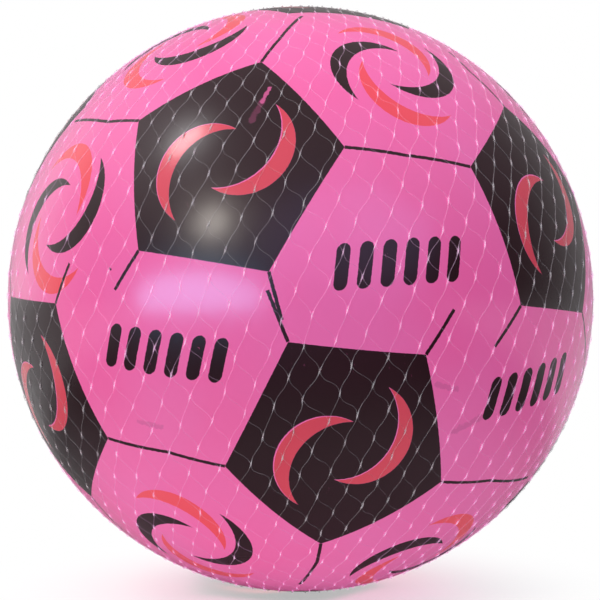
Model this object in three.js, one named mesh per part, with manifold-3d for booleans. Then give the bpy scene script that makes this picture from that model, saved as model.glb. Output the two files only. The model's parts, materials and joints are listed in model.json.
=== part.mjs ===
// A printed play ball in a mesh net bag: a hollow moulded skin with an inflation valve and a
// push-in plug, held in a diamond net that is gathered at both ends and crimped with a clip.
// Millimetres, +Z up, the front of the ball towards -Y. The origin is where the ball rests.

import * as THREE from 'three';
import { mergeVertices } from 'three/addons/utils/BufferGeometryUtils.js';
import Module from 'manifold-3d';

const wasm = await Module();
wasm.setup();

// Ball skin
const BALL_RADIUS = 115;
const SKIN_WALL = 0.8;
const SKIN_RINGS = 20;
const ROUND_SIDES = 40;

// Inflation valve, a soft sleeve bonded into a hole in the skin
const SLEEVE_RADIUS = 5;
const SLEEVE_DEPTH = 13;
const SLEEVE_CLEARANCE = 0.2;
const FLANGE_RADIUS = 9;
const FLANGE_THICKNESS = 1.2;
const VALVE_SIDES = 24;

// Plug that closes the valve
const PLUG_HEAD_RADIUS = 3.4;
const PLUG_HEAD_THICKNESS = 1.2;
const PLUG_STEM_RADIUS = 1.5;
const PLUG_TIP_RADIUS = 1.1;
const PLUG_STEM_LENGTH = 10;
const PLUG_CLEARANCE = 0.2;
const PLUG_SINK = 0.2;

// Net bag
const NET_GAP = 0.6;
const STRAND_THICKNESS = 0.8;
const STRAND_WIDTH = 2;
const NET_COLUMNS = 12;
const NET_ROWS = 16;
const REST_ROW = 2;
const REST_DEPTH = 0.5;
const NET_LEAN_DEG = 8;
const TOP_NECK_BACK_DEG = 14;
const BOTTOM_NECK_BACK_DEG = 24;
const COLLAR_RADIUS = 9;
const COLLAR_WIDTH = 2.5;
const STRAND_SHARE = 0.35;

// Gathered neck and its tail
const BUNDLE_RADIUS = 2;
const BUNDLE_SIDES = 12;
const NECK_RISE = 1.2;
const TAIL_BEND_RADIUS = 3.6;
const TAIL_BEND_DEG = 75;
const TAIL_LENGTH = 7;
const TAIL_END_RADIUS = 3.4;

// Crimped clip on each neck
const CLIP_HEIGHT = 3.4;
const CLIP_WALL = 0.9;
const CLIP_CLEARANCE = 0.3;
const CLIP_SLIT_DEG = 16;

// The gap of the net that the valve lies in, counted in columns and rows
const VALVE_COLUMN = 7;
const VALVE_ROW = 9;

const NET_INNER = BALL_RADIUS + NET_GAP;
const NET_OUTER = NET_INNER + STRAND_THICKNESS;
const BALL_CENTRE = new THREE.Vector3(0, 0, NET_OUTER - REST_DEPTH);
const FRONT = new THREE.Vector3(0, -1, 0);
const DOWN = new THREE.Vector3(0, 0, -1);

function radians(degrees) {
  return THREE.MathUtils.degToRad(degrees);
}

// A direction in the plane that holds the front and both necks, turned up from the front
function upFromFront(degrees) {
  const lean = radians(NET_LEAN_DEG);
  const rising = new THREE.Vector3(-Math.sin(lean), 0, Math.cos(lean));
  return FRONT.clone().multiplyScalar(Math.cos(radians(degrees)))
    .addScaledVector(rising, Math.sin(radians(degrees)));
}

// The net's own axes: the necks lie alike above and below its equator, behind the ball's middle
const topAngle = 90 + TOP_NECK_BACK_DEG;
const bottomAngle = 90 + BOTTOM_NECK_BACK_DEG;
const topNeck = upFromFront(topAngle);
const bottomNeck = upFromFront(-bottomAngle);
const netFront = upFromFront((topAngle - bottomAngle) / 2);
const netAxis = upFromFront((topAngle - bottomAngle) / 2 + 90);
const netSide = netAxis.clone().cross(netFront);
const chordBack = -Math.cos(radians((topAngle + bottomAngle) / 2));

// The arc of the net through both necks and the equator's point at this angle from the front:
// a circle of the sphere, cut by the plane that holds the straight line from neck to neck
function netArc(angle) {
  const forward = Math.cos(angle) + chordBack;
  const aside = Math.sin(angle);
  const reach = Math.hypot(forward, aside);
  const outward = netFront.clone().multiplyScalar(forward / reach)
    .addScaledVector(netSide, aside / reach);
  const chordDepth = -chordBack * forward / reach;
  const centre = netFront.clone().multiplyScalar(-chordBack).addScaledVector(outward, -chordDepth);
  const radius = Math.sqrt(1 - centre.lengthSq());
  const neckAngle = Math.acos(chordDepth / radius);
  const halfSpan = neckAngle - COLLAR_RADIUS / (NET_OUTER * radius);
  return { outward, centre, radius, halfSpan };
}

// A unit direction on an arc; along runs from -1 at the bottom collar to 1 at the top collar
function onArc(arc, along) {
  const angle = along * arc.halfSpan;
  return arc.centre.clone().addScaledVector(arc.outward, arc.radius * Math.cos(angle))
    .addScaledVector(netAxis, arc.radius * Math.sin(angle));
}

// The arc and the place on it of a unit direction
function placeOnNet(direction) {
  const forward = direction.dot(netFront) + chordBack;
  const aside = direction.dot(netSide);
  const reach = Math.hypot(forward, aside);
  const angle = Math.atan2(aside, forward) + Math.asin(chordBack * aside / reach);
  const arc = netArc(angle);
  const along = Math.atan2(direction.dot(netAxis), direction.dot(arc.outward)) / arc.halfSpan;
  return { angle, along };
}

// A knot of the net stands exactly under the ball's centre, so the rows are spaced from there
const rest = placeOnNet(DOWN);
const columnStep = 2 * Math.PI / NET_COLUMNS;

function rowPlace(row) {
  if (row < REST_ROW) {
    return -1 + (rest.along + 1) * row / REST_ROW;
  }
  return rest.along + (1 - rest.along) * (row - REST_ROW) / (NET_ROWS - REST_ROW);
}

function netDirection(column, row) {
  return onArc(netArc(rest.angle + column * columnStep), rowPlace(row));
}

// Closed mesh data as a solid, and back as a geometry without its double or flat triangles
function toManifold(geometry) {
  const bare = geometry.index ? geometry.toNonIndexed() : geometry.clone();
  bare.deleteAttribute('normal');
  bare.deleteAttribute('uv');
  const welded = mergeVertices(bare, 1e-4);
  const corners = welded.index.array;
  const kept = [];
  for (let i = 0; i < corners.length; i += 3) {
    const [a, b, c] = corners.slice(i, i + 3);
    if (a !== b && b !== c && c !== a) {
      kept.push(a, b, c);
    }
  }
  return new wasm.Manifold(new wasm.Mesh({
    numProp: 3,
    vertProperties: new Float32Array(welded.attributes.position.array),
    triVerts: new Uint32Array(kept),
  }));
}

function toGeometry(solid) {
  const mesh = solid.getMesh();
  const geometry = new THREE.BufferGeometry();
  geometry.setAttribute('position', new THREE.BufferAttribute(mesh.vertProperties, 3));
  geometry.setIndex(new THREE.BufferAttribute(mesh.triVerts, 1));
  geometry.computeVertexNormals();
  return geometry;
}

function cleaned(geometry) {
  return toGeometry(toManifold(geometry));
}

// A point of a round profile at an angle from the axis, for a lathe about +Y
function arcPoint(radius, angle) {
  return new THREE.Vector2(radius * Math.sin(angle), radius * Math.cos(angle));
}

function arcProfile(radius, fromAngle, toAngle, steps) {
  const points = [];
  for (let i = 0; i <= steps; i += 1) {
    points.push(arcPoint(radius, fromAngle + (toAngle - fromAngle) * i / steps));
  }
  return points;
}

// The skin is a lathed shell about the valve's axis, with the valve's hole at its pole and one
// ring just outside the valve's flange, so that the flange lies evenly under it
function skinGeometry() {
  const holeRadius = SLEEVE_RADIUS + SLEEVE_CLEARANCE;
  const seatRadius = FLANGE_RADIUS + SLEEVE_CLEARANCE;
  const innerRadius = BALL_RADIUS - SKIN_WALL;
  const outside = arcProfile(BALL_RADIUS, Math.PI, Math.asin(seatRadius / BALL_RADIUS), SKIN_RINGS);
  const mouth = [
    arcPoint(BALL_RADIUS, Math.asin(holeRadius / BALL_RADIUS)),
    arcPoint(innerRadius, Math.asin(holeRadius / innerRadius)),
  ];
  const inside = arcProfile(innerRadius, Math.asin(seatRadius / innerRadius), Math.PI, SKIN_RINGS);
  outside[0].x = 0;
  inside[SKIN_RINGS].x = 0;
  return new THREE.LatheGeometry([...outside, ...mouth, ...inside], ROUND_SIDES);
}

// The sleeve's mouth is flush with the ball, its flange is bonded under the skin, and its
// bore and head recess take the plug with a small clearance
const mouthHeight = Math.sqrt(BALL_RADIUS ** 2 - SLEEVE_RADIUS ** 2);
const plugSeat = mouthHeight - PLUG_SINK - PLUG_HEAD_THICKNESS;

function sleeveGeometry() {
  const innerRadius = BALL_RADIUS - SKIN_WALL;
  const flangeTop = Math.sqrt(innerRadius ** 2 - FLANGE_RADIUS ** 2) - SLEEVE_CLEARANCE;
  const flangeRoot = Math.sqrt(innerRadius ** 2 - SLEEVE_RADIUS ** 2) - SLEEVE_CLEARANCE;
  const boreRadius = PLUG_STEM_RADIUS + PLUG_CLEARANCE;
  const recessRadius = PLUG_HEAD_RADIUS + PLUG_CLEARANCE;
  const recessFloor = plugSeat - PLUG_CLEARANCE;
  const foot = mouthHeight - SLEEVE_DEPTH;
  const profile = [
    [boreRadius, foot],
    [SLEEVE_RADIUS, foot],
    [SLEEVE_RADIUS, flangeTop - FLANGE_THICKNESS],
    [FLANGE_RADIUS, flangeTop - FLANGE_THICKNESS],
    [FLANGE_RADIUS, flangeTop],
    [SLEEVE_RADIUS, flangeRoot],
    [SLEEVE_RADIUS, mouthHeight],
    [recessRadius, mouthHeight],
    [recessRadius, recessFloor],
    [boreRadius, recessFloor],
    [boreRadius, foot],
  ].map(([x, y]) => new THREE.Vector2(x, y));
  return new THREE.LatheGeometry(profile, VALVE_SIDES);
}

function plugGeometry() {
  const top = plugSeat + PLUG_HEAD_THICKNESS;
  const tip = plugSeat - PLUG_STEM_LENGTH;
  const profile = [
    [0, tip],
    [PLUG_TIP_RADIUS, tip],
    [PLUG_STEM_RADIUS, tip + PLUG_STEM_RADIUS],
    [PLUG_STEM_RADIUS, plugSeat],
    [PLUG_HEAD_RADIUS, plugSeat],
    [PLUG_HEAD_RADIUS, top],
    [0, top],
  ].map(([x, y]) => new THREE.Vector2(x, y));
  return new THREE.LatheGeometry(profile, VALVE_SIDES);
}

// Collects a surface of unit directions as triangles that all face outwards
class RoundSurface {
  constructor() {
    this.points = [];
    this.triangles = [];
  }

  point(direction) {
    this.points.push(direction.clone().normalize());
    return this.points.length - 1;
  }

  midpoint(a, b) {
    return this.point(this.points[a].clone().add(this.points[b]));
  }

  triangle(a, b, c) {
    const [first, second, third] = [a, b, c].map((i) => this.points[i]);
    const normal = second.clone().sub(first).cross(third.clone().sub(first));
    this.triangles.push(normal.dot(first) > 0 ? [a, b, c] : [a, c, b]);
  }

  quad(a, b, c, d) {
    const across = this.points[a].distanceTo(this.points[c]);
    const other = this.points[b].distanceTo(this.points[d]);
    if (across < other) {
      this.triangle(a, b, c);
      this.triangle(a, c, d);
    } else {
      this.triangle(a, b, d);
      this.triangle(b, c, d);
    }
  }

  // The surface between two radii: both skins, and a wall along every open edge
  thickened(innerRadius, outerRadius) {
    const count = this.points.length;
    const open = new Map();
    const indices = [];
    for (const [a, b, c] of this.triangles) {
      indices.push(a, b, c, a + count, c + count, b + count);
      for (const [from, to] of [[a, b], [b, c], [c, a]]) {
        if (!open.delete(`${to},${from}`)) {
          open.set(`${from},${to}`, [from, to]);
        }
      }
    }
    for (const [from, to] of open.values()) {
      indices.push(to, from, from + count, to, from + count, to + count);
    }
    const positions = [outerRadius, innerRadius].flatMap((radius) => (
      this.points.flatMap((point) => point.clone().multiplyScalar(radius).toArray())
    ));
    const geometry = new THREE.BufferGeometry();
    geometry.setAttribute('position', new THREE.Float32BufferAttribute(positions, 3));
    geometry.setIndex(indices);
    return geometry;
  }
}

// Each knot of the net has a corner towards each of the four gaps around it. A corner lies
// where the edges of two strands meet, and nearer where the strands crowd at the necks.
function knotCorners(surface, column, row) {
  const knot = netDirection(column, row);
  const right = netDirection(column + 0.5, row).sub(knot);
  const left = netDirection(column - 0.5, row).sub(knot);
  const up = netDirection(column, Math.min(row + 1, NET_ROWS)).sub(knot);
  const down = netDirection(column, Math.max(row - 1, 0)).sub(knot);
  const width = (right.length() + left.length()) / 2;
  const height = Math.max(up.length(), down.length());
  const slope = Math.atan2(width, height);
  const halfStrand = STRAND_WIDTH / 2 / NET_OUTER;
  const rise = Math.min(halfStrand / Math.sin(slope), STRAND_SHARE * height);
  const reach = Math.min(halfStrand / Math.cos(slope), STRAND_SHARE * width);
  const collar = COLLAR_WIDTH / NET_OUTER;
  const corner = (towards, distance) => (
    surface.point(knot.clone().addScaledVector(towards.clone().normalize(), distance))
  );
  return {
    right: corner(right, reach),
    left: corner(left, reach),
    up: row === NET_ROWS ? corner(topNeck.clone().sub(knot), collar) : corner(up, rise),
    down: row === 0 ? corner(bottomNeck.clone().sub(knot), collar) : corner(down, rise),
  };
}

function addStrand(surface, left, right, farLeft, farRight) {
  const middleLeft = surface.midpoint(left, farLeft);
  const middleRight = surface.midpoint(right, farRight);
  surface.quad(left, right, middleRight, middleLeft);
  surface.quad(middleLeft, middleRight, farRight, farLeft);
}

// The whole lattice: knots, the strands from each knot up to the next row, and at each end a
// collar and a disc under the gathered neck
function latticeSurface() {
  const surface = new RoundSurface();
  const knots = [];
  for (let row = 0; row <= NET_ROWS; row += 1) {
    const stagger = (row - REST_ROW) % 2 === 0 ? 0 : 0.5;
    const ring = [];
    for (let column = 0; column < NET_COLUMNS; column += 1) {
      ring.push(knotCorners(surface, column + stagger, row));
    }
    knots.push(ring);
  }
  const knot = (row, column) => knots[row][(column + NET_COLUMNS) % NET_COLUMNS];
  for (let row = 0; row <= NET_ROWS; row += 1) {
    const toRight = (row - REST_ROW) % 2 === 0 ? 0 : 1;
    for (let column = 0; column < NET_COLUMNS; column += 1) {
      const here = knot(row, column);
      surface.quad(here.up, here.right, here.down, here.left);
      if (row < NET_ROWS) {
        const rightward = knot(row + 1, column + toRight);
        const leftward = knot(row + 1, column + toRight - 1);
        addStrand(surface, here.up, here.right, rightward.left, rightward.down);
        addStrand(surface, here.left, here.up, leftward.down, leftward.right);
      }
    }
  }
  for (const [row, side, neck] of [[0, 'down', bottomNeck], [NET_ROWS, 'up', topNeck]]) {
    const middle = surface.point(neck);
    for (let column = 0; column < NET_COLUMNS; column += 1) {
      const here = knot(row, column);
      const next = knot(row, column + 1);
      surface.quad(here.right, next.left, next[side], here[side]);
      surface.triangle(here[side], next[side], middle);
    }
  }
  return surface;
}

// The direction from a neck along the ball's surface to the back, where its tail is bent
function tailDirection(neck) {
  const back = FRONT.clone().negate();
  return back.addScaledVector(neck, -back.dot(neck)).normalize();
}

// Heights above the ball's centre, along a neck, of its clip
const clipFoot = NET_OUTER + NECK_RISE + CLIP_CLEARANCE;
const clipTop = clipFoot + CLIP_HEIGHT;

// A gathered neck: rings along its axis, wide at the collar, drawn in through the clip, then
// bent over and flared into the short tail
function neckGeometry(neck) {
  const bendAxis = neck.clone().cross(tailDirection(neck));
  const bendSteps = 4;
  const bendAngle = radians(TAIL_BEND_DEG);
  const rings = [
    { height: NET_OUTER - STRAND_THICKNESS / 2, radius: COLLAR_RADIUS - COLLAR_WIDTH, angle: 0 },
    { height: NET_OUTER + NECK_RISE / 3, radius: 2 * BUNDLE_RADIUS, angle: 0 },
    { height: NET_OUTER + NECK_RISE, radius: BUNDLE_RADIUS, angle: 0 },
    { height: clipTop + CLIP_CLEARANCE, radius: BUNDLE_RADIUS, angle: 0 },
  ].map(({ height, radius, angle }) => ({
    centre: neck.clone().multiplyScalar(height), radius, angle,
  }));
  const bendStart = rings[rings.length - 1].centre;
  const hub = bendStart.clone().addScaledVector(tailDirection(neck), TAIL_BEND_RADIUS);
  for (let step = 1; step <= bendSteps; step += 1) {
    const angle = bendAngle * step / bendSteps;
    const centre = bendStart.clone().sub(hub).applyAxisAngle(bendAxis, angle).add(hub);
    const flare = step / bendSteps * (TAIL_END_RADIUS - BUNDLE_RADIUS) / 2;
    rings.push({ centre, radius: BUNDLE_RADIUS + flare, angle });
  }
  const last = rings[rings.length - 1];
  const onward = neck.clone().applyAxisAngle(bendAxis, last.angle);
  rings.push({
    centre: last.centre.clone().addScaledVector(onward, TAIL_LENGTH),
    radius: TAIL_END_RADIUS,
    angle: last.angle,
  });
  return ringTube(rings, neck, bendAxis);
}

// A closed tube through rings, each turned about the bend's axis
function ringTube(rings, axis, bendAxis) {
  const positions = [];
  for (const { centre, radius, angle } of rings) {
    for (let side = 0; side < BUNDLE_SIDES; side += 1) {
      const point = bendAxis.clone().multiplyScalar(radius)
        .applyAxisAngle(axis, side * 2 * Math.PI / BUNDLE_SIDES)
        .applyAxisAngle(bendAxis, angle)
        .add(centre);
      positions.push(...point.toArray());
    }
  }
  const first = rings.length * BUNDLE_SIDES;
  positions.push(...rings[0].centre.toArray(), ...rings[rings.length - 1].centre.toArray());
  const indices = [];
  for (let side = 0; side < BUNDLE_SIDES; side += 1) {
    const next = (side + 1) % BUNDLE_SIDES;
    for (let ring = 0; ring + 1 < rings.length; ring += 1) {
      const low = ring * BUNDLE_SIDES;
      const high = low + BUNDLE_SIDES;
      indices.push(low + side, low + next, high + next, low + side, high + next, high + side);
    }
    const top = (rings.length - 1) * BUNDLE_SIDES;
    indices.push(first, next, side, first + 1, top + side, top + next);
  }
  const geometry = new THREE.BufferGeometry();
  geometry.setAttribute('position', new THREE.Float32BufferAttribute(positions, 3));
  geometry.setIndex(indices);
  return geometry;
}

// The net is the lattice with both necks, pressed flat where it rests
function netGeometry() {
  const lattice = toManifold(latticeSurface().thickened(NET_INNER, NET_OUTER));
  const whole = lattice
    .add(toManifold(neckGeometry(topNeck)))
    .add(toManifold(neckGeometry(bottomNeck)));
  const slabSize = BALL_RADIUS;
  const slab = new THREE.BoxGeometry(slabSize, slabSize, slabSize);
  slab.translate(0, 0, -BALL_CENTRE.z - slabSize / 2);
  return toGeometry(whole.subtract(toManifold(slab)));
}

// A clip is a flat band bent round the gathered neck, its two ends meeting at a narrow slit
function clipGeometry() {
  const inner = BUNDLE_RADIUS + CLIP_CLEARANCE;
  const outer = inner + CLIP_WALL;
  const slit = radians(CLIP_SLIT_DEG) / 2;
  const shape = new THREE.Shape();
  shape.absarc(0, 0, outer, slit, 2 * Math.PI - slit, false);
  shape.absarc(0, 0, inner, 2 * Math.PI - slit, slit, true);
  return new THREE.ExtrudeGeometry(shape, {
    depth: CLIP_HEIGHT,
    bevelEnabled: false,
    curveSegments: VALVE_SIDES,
  });
}

// Materials
const pinkVinyl = new THREE.MeshStandardMaterial({ color: '#ee5ba3', roughness: 0.25, metalness: 0 });
const clearVinyl = new THREE.MeshStandardMaterial({ color: '#f3d6e2', roughness: 0.4, metalness: 0 });
const whitePlug = new THREE.MeshStandardMaterial({ color: '#f4f1ee', roughness: 0.45, metalness: 0 });
const whiteNylon = new THREE.MeshStandardMaterial({ color: '#f2eef2', roughness: 0.5, metalness: 0 });
const clipMetal = new THREE.MeshStandardMaterial({ color: '#c9ccd0', roughness: 0.35, metalness: 1 });

function named(name, geometry, material) {
  const mesh = new THREE.Mesh(geometry, material);
  mesh.name = name;
  return mesh;
}

// The valve lies in a gap of the net at the back of the ball, and its pieces share one axis
function valveGroup() {
  const group = new THREE.Group();
  const direction = netDirection(VALVE_COLUMN, VALVE_ROW);
  group.quaternion.setFromUnitVectors(new THREE.Vector3(0, 1, 0), direction);
  group.add(named('ball_skin', cleaned(skinGeometry()), pinkVinyl));
  group.add(named('valve_sleeve', cleaned(sleeveGeometry()), clearVinyl));
  group.add(named('valve_plug', cleaned(plugGeometry()), whitePlug));
  return group;
}

function clip(name, neck) {
  const mesh = named(name, cleaned(clipGeometry()), clipMetal);
  mesh.position.copy(neck).multiplyScalar(clipFoot);
  mesh.quaternion.setFromUnitVectors(new THREE.Vector3(0, 0, 1), neck);
  return mesh;
}

const ball = new THREE.Group();
ball.position.copy(BALL_CENTRE);
ball.add(valveGroup());
ball.add(named('net_bag', netGeometry(), whiteNylon));
ball.add(clip('top_clip', topNeck));
ball.add(clip('bottom_clip', bottomNeck));

const playBall = new THREE.Group();
playBall.add(ball);

export default playBall;
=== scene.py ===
# The looks of a printed play ball in its net bag: the skin with its print, the valve and
# its plug, the fine diamond net, its gathered necks and their clips, on a pale studio floor.
# Metres, +Z up, the front of the ball towards -Y, the floor at Z = 0.

import functools
import itertools
import json
import math

import bpy
import numpy as np
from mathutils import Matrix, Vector


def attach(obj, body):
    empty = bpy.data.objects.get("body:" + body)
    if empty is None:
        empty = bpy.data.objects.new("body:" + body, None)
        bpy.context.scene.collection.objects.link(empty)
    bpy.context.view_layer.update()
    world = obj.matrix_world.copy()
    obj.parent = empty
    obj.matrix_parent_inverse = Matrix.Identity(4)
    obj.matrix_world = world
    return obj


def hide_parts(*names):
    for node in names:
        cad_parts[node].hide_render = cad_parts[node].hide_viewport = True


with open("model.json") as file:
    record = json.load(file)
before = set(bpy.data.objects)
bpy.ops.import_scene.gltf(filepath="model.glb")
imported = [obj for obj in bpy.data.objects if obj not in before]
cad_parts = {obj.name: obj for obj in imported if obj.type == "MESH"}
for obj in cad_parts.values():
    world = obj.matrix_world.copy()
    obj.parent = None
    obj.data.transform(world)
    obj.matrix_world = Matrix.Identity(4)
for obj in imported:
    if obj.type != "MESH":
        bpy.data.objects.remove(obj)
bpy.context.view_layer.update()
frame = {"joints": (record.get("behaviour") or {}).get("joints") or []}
chance = np.random.default_rng(11)

MM = 0.001
UP = np.array([0.0, 0.0, 1.0])
FRONT = np.array([0.0, -1.0, 0.0])

# Ball, in metres
BALL_RADIUS = 0.115
BALL_CENTRE = np.array([0.0, 0.0, 0.1159])
SKIN_WALL = 0.0008
HOLE_RADIUS = 0.0052
RADIUS_MM = BALL_RADIUS / MM

# Print, in millimetres on the flat plane that touches the ball at the middle of each field
PRINT_STRETCH = 1.046
HALF_FIFTH = math.pi / 5
PAD_REACH = RADIUS_MM * math.tan(math.radians(20.9))
SEAM_HALF_WIDTH = 0.62
SEAM_HALF_LENGTH = 14.0
SEAM_CATCH_DEG = 2.6
CRESCENT_RADIUS = 18.5
CRESCENT_HOLLOW_RADIUS = 20.6
CRESCENT_HOLLOW_BACK = 9.1
NEIGHBOUR_COS = math.cos(math.radians(75))
RED_SLIP = np.array([0.00035, 0.0, -0.0003])

# The pads that show in front: longitude, latitude and turn of the pentagon, in degrees
FRONT_PADS = [(-14, 24, -9), (8, -26, 174.5), (53.2, 16, -3.4), (-60, -18, 177)]
UPPER_PADS = [(45, 84), (-88, 36)]

# The swirls and marks that show in front: longitude, latitude and turn in degrees
FRONT_SWIRLS = [(24, 45, 135), (-50.5, 15, 146), (-31, -49, 134), (-41.5, 55, 125),
                (41.5, -56, 130)]
FRONT_MARKS = [(16.5, 6, 4), (-23.5, -9, -6), (46.5, -15.5, 10)]
SWIRL_TURN = 135
SWIRL_REACH_DEG = 12

# The seam lines that show in front, as chains of longitude and latitude. Most run from pad to
# pad, and those that miss the next pad's corner end free beside its line.
FRONT_SEAMS = [
    [(-34.3, 31.8), (-44.9, 33.0), (-62.7, 35.0)],
    [(-28.5, 7.5), (-32.6, 1.5)], [(-48.0, -0.9), (-44.0, 6.1)],
    [(-5.1, 4.4), (-3.0, -3.4)], [(-2.0, -7.1), (-5.3, 1.4)],
    [(-40.1, -25.1), (-25.7, -26.6), (-13.9, -28.6)],
    [(5.5, -47.5), (5.0, -54.0), (-0.5, -66.2)],
    [(31.1, -33.3), (44.6, -33.9), (64.7, -35.3)],
    [(21.9, -8.9), (26.1, -1.7)], [(39.8, -1.1), (35.0, -8.0)],
    [(7.4, 25.8), (19.8, 24.5), (32.9, 22.8)],
    [(-9.0, 44.7), (-6.0, 53.2), (0.6, 64.4)],
    [(51.9, 36.9), (51.8, 46.5), (53.1, 53.1)],
]

# Handling marks: a scratch that took the ink off, a speck of ink, and three grey smears with
# the reach of each in millimetres
SCRATCH = ((-7.9, 35.2), (-6.6, 38.4))
SCRATCH_TAIL = ((-9.6, 31.0), (-7.6, 36.0))
SPECK = ((-33.9, 5.1), (-33.7, 4.9))
SMEARS = [(((-30.4, -21.1), (-25.7, -21.8)), 1.1), (((24.0, -14.3), (27.8, -15.1)), 1.2),
          (((29.4, -22.7), (34.6, -20.4)), 1.6)]

# Net
NET_RADIUS = 0.1164
NET_LEAN = math.radians(8)
TOP_NECK_DEG = 104
BOTTOM_NECK_DEG = 114
COLLAR_RADIUS = 0.009
NET_COLUMNS = 64
NET_ROWS = 46
NET_TWIST = 0.12
NET_SHEAR = 0.048
NET_GAP = 0.00004
STRAND_STEPS = 8

# The net's two families: piece, way it leans, sway, radius along it and at a knot, and the
# share of its length over which a knot swells
FAMILIES = [("net_strands", 1, 0.027, 0.00015, 0.00032, 0.13),
            ("net_links", -1, -0.058, 0.00012, 0.0002, 0.1)]


# Directions and places on the ball

def direction(longitude, latitude):
    """A unit direction: longitude turns from the front towards +X, latitude rises to +Z."""
    lon, lat = np.radians(longitude), np.radians(latitude)
    return np.stack([np.sin(lon) * np.cos(lat), -np.cos(lon) * np.cos(lat), np.sin(lat)], -1)


def unit(vectors):
    return vectors / np.linalg.norm(vectors, axis=-1, keepdims=True)


def east_and_north(axis):
    """The two unit directions across a field: north leans to +Z, east is to its right."""
    north = unit(UP - axis * axis[2])
    return np.cross(north, axis), north


def place_on_field(points, axis, turn):
    """Where directions lie on the flat plane touching the ball at axis, in millimetres.

    A direction is lengthened until it meets the plane. The print is a little narrower and
    taller than true, and its first corner is turned by turn degrees from straight up.
    """
    east, north = east_and_north(axis)
    depth = np.maximum(points @ axis, 0.05)
    across = points @ east / depth * PRINT_STRETCH * RADIUS_MM
    along = points @ north / depth / PRINT_STRETCH * RADIUS_MM
    angle = math.radians(turn)
    return np.stack([
        across * math.cos(angle) + along * math.sin(angle),
        along * math.cos(angle) - across * math.sin(angle),
    ], -1)


def pad_corners(axis, turn):
    """The five corners of a pad as directions: from the flat plane back to the ball."""
    east, north = east_and_north(axis)
    bearing = np.radians(np.arange(5) * 72.0)
    flat_x, flat_y = PAD_REACH * np.sin(bearing), PAD_REACH * np.cos(bearing)
    angle = math.radians(turn)
    across = flat_x * math.cos(angle) - flat_y * math.sin(angle)
    along = flat_x * math.sin(angle) + flat_y * math.cos(angle)
    return unit(axis + (across / RADIUS_MM / PRINT_STRETCH)[:, None] * east
                + (along / RADIUS_MM * PRINT_STRETCH)[:, None] * north)


def turn_to_neighbours(axis, axes):
    """The turn in degrees at which a pentagon's corners point at its five neighbours."""
    east, north = east_and_north(axis)
    near = axes[(axes @ axis > NEIGHBOUR_COS) & (axes @ axis < 0.99)]
    bearings = np.arctan2(near @ north, near @ east) - math.pi / 2
    return math.degrees(np.angle(np.exp(5j * bearings).mean())) / 5


def pad_fields():
    """The axis and turn of the twelve pads: six, and those straight behind each of them."""
    seen = [direction(*place[:2]) for place in FRONT_PADS + UPPER_PADS]
    axes = np.array(seen + [-axis for axis in seen])
    turns = [turn for _, _, turn in FRONT_PADS]
    turns += [turn_to_neighbours(axis, axes) for axis in axes[len(turns):]]
    return axes, turns


# Used only to place a painted glow on the net's strands over the pink skin, a stand-in for the
# skin's light seen through them.
def lit_by_skin(points, pads, turns):
    """1 where points close to the ball lie over the pink skin, and 0 over its black pads.

    It takes the skin's own formula of a pad, reach * cos(36 - angle from the nearest corner)
    - the corner's reach * cos 36, and rises over the millimetre about its edge.
    """
    heading = unit(points - BALL_CENTRE)
    nearest = np.argmax(heading @ pads.T, axis=-1)
    away = np.empty(len(points))
    for index, (axis, turn) in enumerate(zip(pads, turns)):
        here = nearest == index
        place = place_on_field(heading[here], axis, turn)
        folded = (np.arctan2(*place.T) + HALF_FIFTH) % (2 * HALF_FIFTH) - HALF_FIFTH
        away[here] = np.hypot(*place.T) * np.cos(HALF_FIFTH - np.abs(folded))
    return np.clip(away - PAD_REACH * math.cos(HALF_FIFTH) + 0.5, 0, 1)


def panel_fields(pads):
    """The twenty panels, each at the middle of three pads that are neighbours.

    A swirl or mark that shows in front is set at its own place and turn. The panels straight
    behind the marks hold marks too, and every other panel holds a swirl.
    """
    triples = [three for three in itertools.combinations(pads, 3)
               if min(a @ b for a, b in itertools.combinations(three, 2)) > NEIGHBOUR_COS]
    middles = unit(np.array([sum(three) for three in triples]))
    marks, set_swirls = ([(direction(lon, lat), turn) for lon, lat, turn in places]
                         for places in (FRONT_MARKS, FRONT_SWIRLS))
    marks += [(-axis, turn) for axis, turn in marks]
    near = math.cos(math.radians(SWIRL_REACH_DEG))
    swirls = []
    for middle in middles:
        if any(middle @ axis > near for axis, _ in marks):
            continue
        own = [swirl for swirl in set_swirls if swirl[0] @ middle > near]
        swirls.append(own[0] if own else (middle, SWIRL_TURN))
    return swirls, marks


def seam_lines(pads, turns):
    """Where every seam line starts and ends, as two arrays of directions.

    A measured end that lies close to a pad's corner is moved onto it. Where none was measured,
    a line runs between the facing corners of two neighbouring pads.
    """
    corners = np.array([pad_corners(axis, turn) for axis, turn in zip(pads, turns)])
    every = corners.reshape(-1, 3)
    catch = math.cos(math.radians(SEAM_CATCH_DEG))

    def caught(points):
        nearest = every[np.argmax(points @ every.T, axis=1)]
        return np.where(((points * nearest).sum(-1) > catch)[:, None], nearest, points)

    chains = [direction(*np.transpose(chain)) for chain in FRONT_SEAMS]
    starts = caught(np.vstack([chain[:-1] for chain in chains]))
    ends = caught(np.vstack([chain[1:] for chain in chains]))
    measured = np.vstack([starts, ends])
    added = []
    for one, other in itertools.combinations(range(len(pads)), 2):
        if pads[one] @ pads[other] < NEIGHBOUR_COS:
            continue
        closeness = corners[one] @ corners[other].T
        near = np.unravel_index(closeness.argmax(), closeness.shape)
        pair = corners[one][near[0]], corners[other][near[1]]
        if max((measured @ end).max() for end in pair) < catch:
            added.append(pair)
    more_starts, more_ends = zip(*added)
    return np.vstack([starts, more_starts]), np.vstack([ends, more_ends])


# Meshes

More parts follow.
